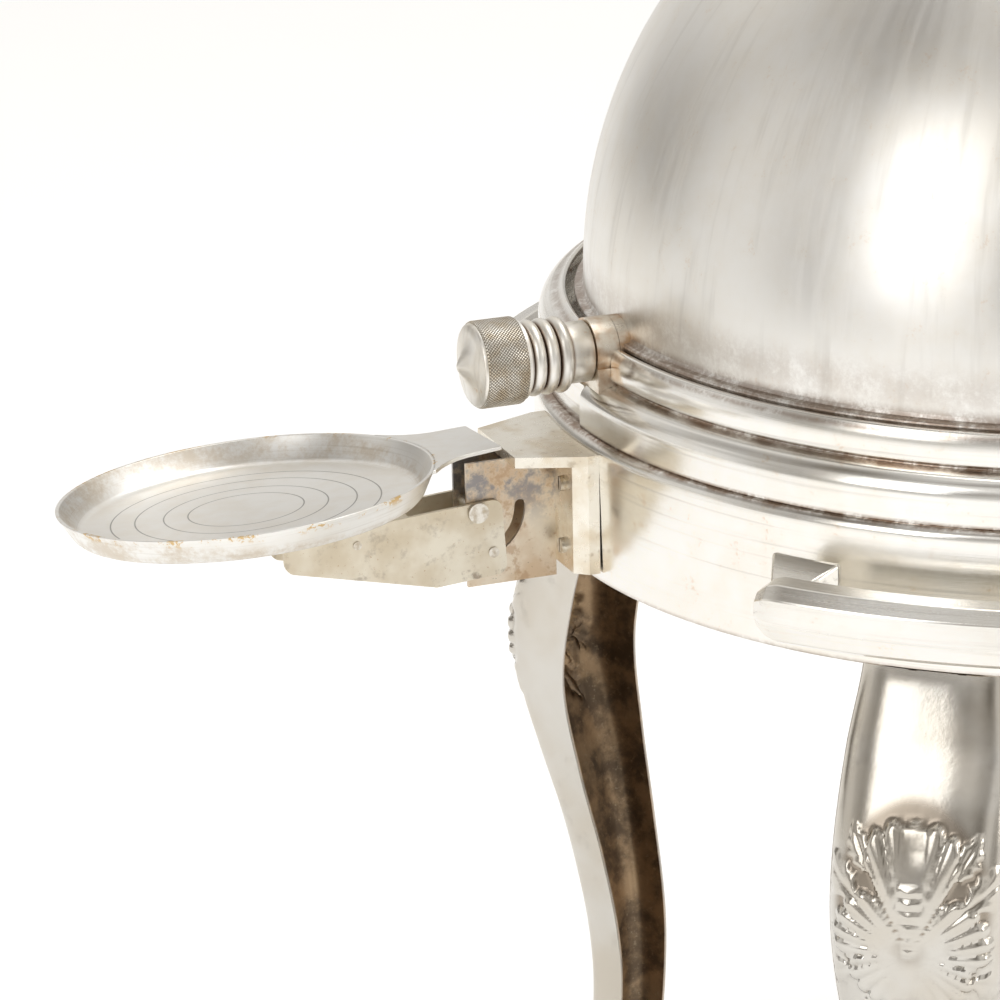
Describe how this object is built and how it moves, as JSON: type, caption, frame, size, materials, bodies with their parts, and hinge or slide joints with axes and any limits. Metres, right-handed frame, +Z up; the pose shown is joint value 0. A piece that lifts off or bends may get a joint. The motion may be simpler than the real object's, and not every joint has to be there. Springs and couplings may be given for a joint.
{
  "type": "roll top chafer",
  "caption": "Round silver-plated chafing dish whose dome rolls back on ribbed side knobs, on tall cabriole legs, with bar rails front and rear, a spirit burner and a fold-down side tray.",
  "frame": {"origin": "centre of the bounding box's bottom face, on the floor between the legs and towards the tray", "axes": "+X to the right of someone facing the chafer's front, +Y to its rear, +Z up; the side tray is at -X"},
  "size_m": [0.8056, 0.583, 0.738],
  "materials": {
    "plated_body": "polished silver plate with brown marks in the seams",
    "plated_dome": "satin silver plate with fine upright streaks",
    "plated_legs": "polished pressed silver plate, dark inside",
    "plated_rails": "polished silver plate",
    "knob_metal": "turned metal with grime in the grooves",
    "bearing_metal": "heat tarnished turned metal",
    "tray_metal": "spun metal with circular brushing",
    "tarnished_metal": "yellowed and heat stained metal",
    "fixings": "turned steel fixings",
    "inner_steel": "plain bent steel",
    "pan_steel": "satin stainless steel",
    "burner_brass": "lacquered brass",
    "handle_wood": "dark turned wood",
    "pad_rubber": "black rubber"
  },
  "bodies": {
    "frame": {"body_skirt": "plated_body", "rim_ring": "plated_body", "rear_collar": "plated_body", "bearing_saddle_left": "bearing_metal", "bearing_saddle_right": "bearing_metal", "bearing_cap_left": "bearing_metal", "bearing_cap_right": "bearing_metal", "bearing_cap_screws": "fixings", "pan_frame": "inner_steel", "pan_frame_arms": "inner_steel", "leg_front_left": "plated_legs", "leg_front_right": "plated_legs", "leg_rear_left": "plated_legs", "leg_rear_right": "plated_legs", "leg_flowers": "plated_legs", "leg_blocks": "inner_steel", "leg_screws": "fixings", "foot_pads": "pad_rubber", "front_rail": "plated_rails", "rear_rail": "plated_rails", "front_rail_bosses": "plated_rails", "rear_rail_bosses": "plated_rails", "rail_bolts": "fixings", "tray_bracket": "tarnished_metal", "bracket_screws": "fixings", "slotted_channel": "tarnished_metal", "channel_rivets": "fixings", "pivot_pin": "fixings", "burner_arm": "inner_steel", "burner_arm_screws": "fixings", "burner_shelf": "inner_steel"},
    "lid": {"dome": "plated_dome", "dome_brim": "plated_dome", "trunnion_left": "bearing_metal", "trunnion_right": "bearing_metal", "ribbed_knob_left": "knob_metal", "ribbed_knob_right": "knob_metal", "knurled_head_left": "knob_metal", "knurled_head_right": "knob_metal", "knob_cap_left": "knob_metal", "knob_cap_right": "knob_metal"},
    "tray_holder": {"tray": "tray_metal", "tray_arm": "tarnished_metal", "tray_post": "tarnished_metal", "arm_rivets": "fixings", "guide_pin": "fixings"},
    "water_pan_body": {"water_pan": "pan_steel"},
    "food_pan_body": {"food_pan": "pan_steel"},
    "burner_body": {"burner": "burner_brass", "burner_collar": "burner_brass", "burner_handle": "handle_wood", "snuffer_pin": "fixings"},
    "snuffer_body": {"snuffer": "burner_brass"}
  },
  "joints": [
    {"name": "lid_roll", "type": "hinge", "parent": "frame", "child": "lid", "pos_m": [0.0933, 0, 0.4966], "axis": [-1, 0, 0], "range_deg": [0, 90]},
    {"name": "tray_fold", "type": "hinge", "parent": "frame", "child": "tray_holder", "pos_m": [-0.2097, 0.006, 0.428], "axis": [0, -1, 0], "range_deg": [0, 70]},
    {"name": "water_pan_lift", "type": "slide", "parent": "frame", "child": "water_pan_body", "axis": [0, 0, 1], "range_m": [0, 0.03]},
    {"name": "food_pan_lift", "type": "slide", "parent": "water_pan_body", "child": "food_pan_body", "axis": [0, 0, 1], "range_m": [0, 0.025]},
    {"name": "burner_lift", "type": "slide", "parent": "frame", "child": "burner_body", "axis": [0, 0, 1], "range_m": [0, 0.018]},
    {"name": "snuffer_swing", "type": "hinge", "parent": "burner_body", "child": "snuffer_body", "pos_m": [0.1233, 0, 0.4011], "axis": [0, 0, 1], "range_deg": [0, 110]}
  ]
}
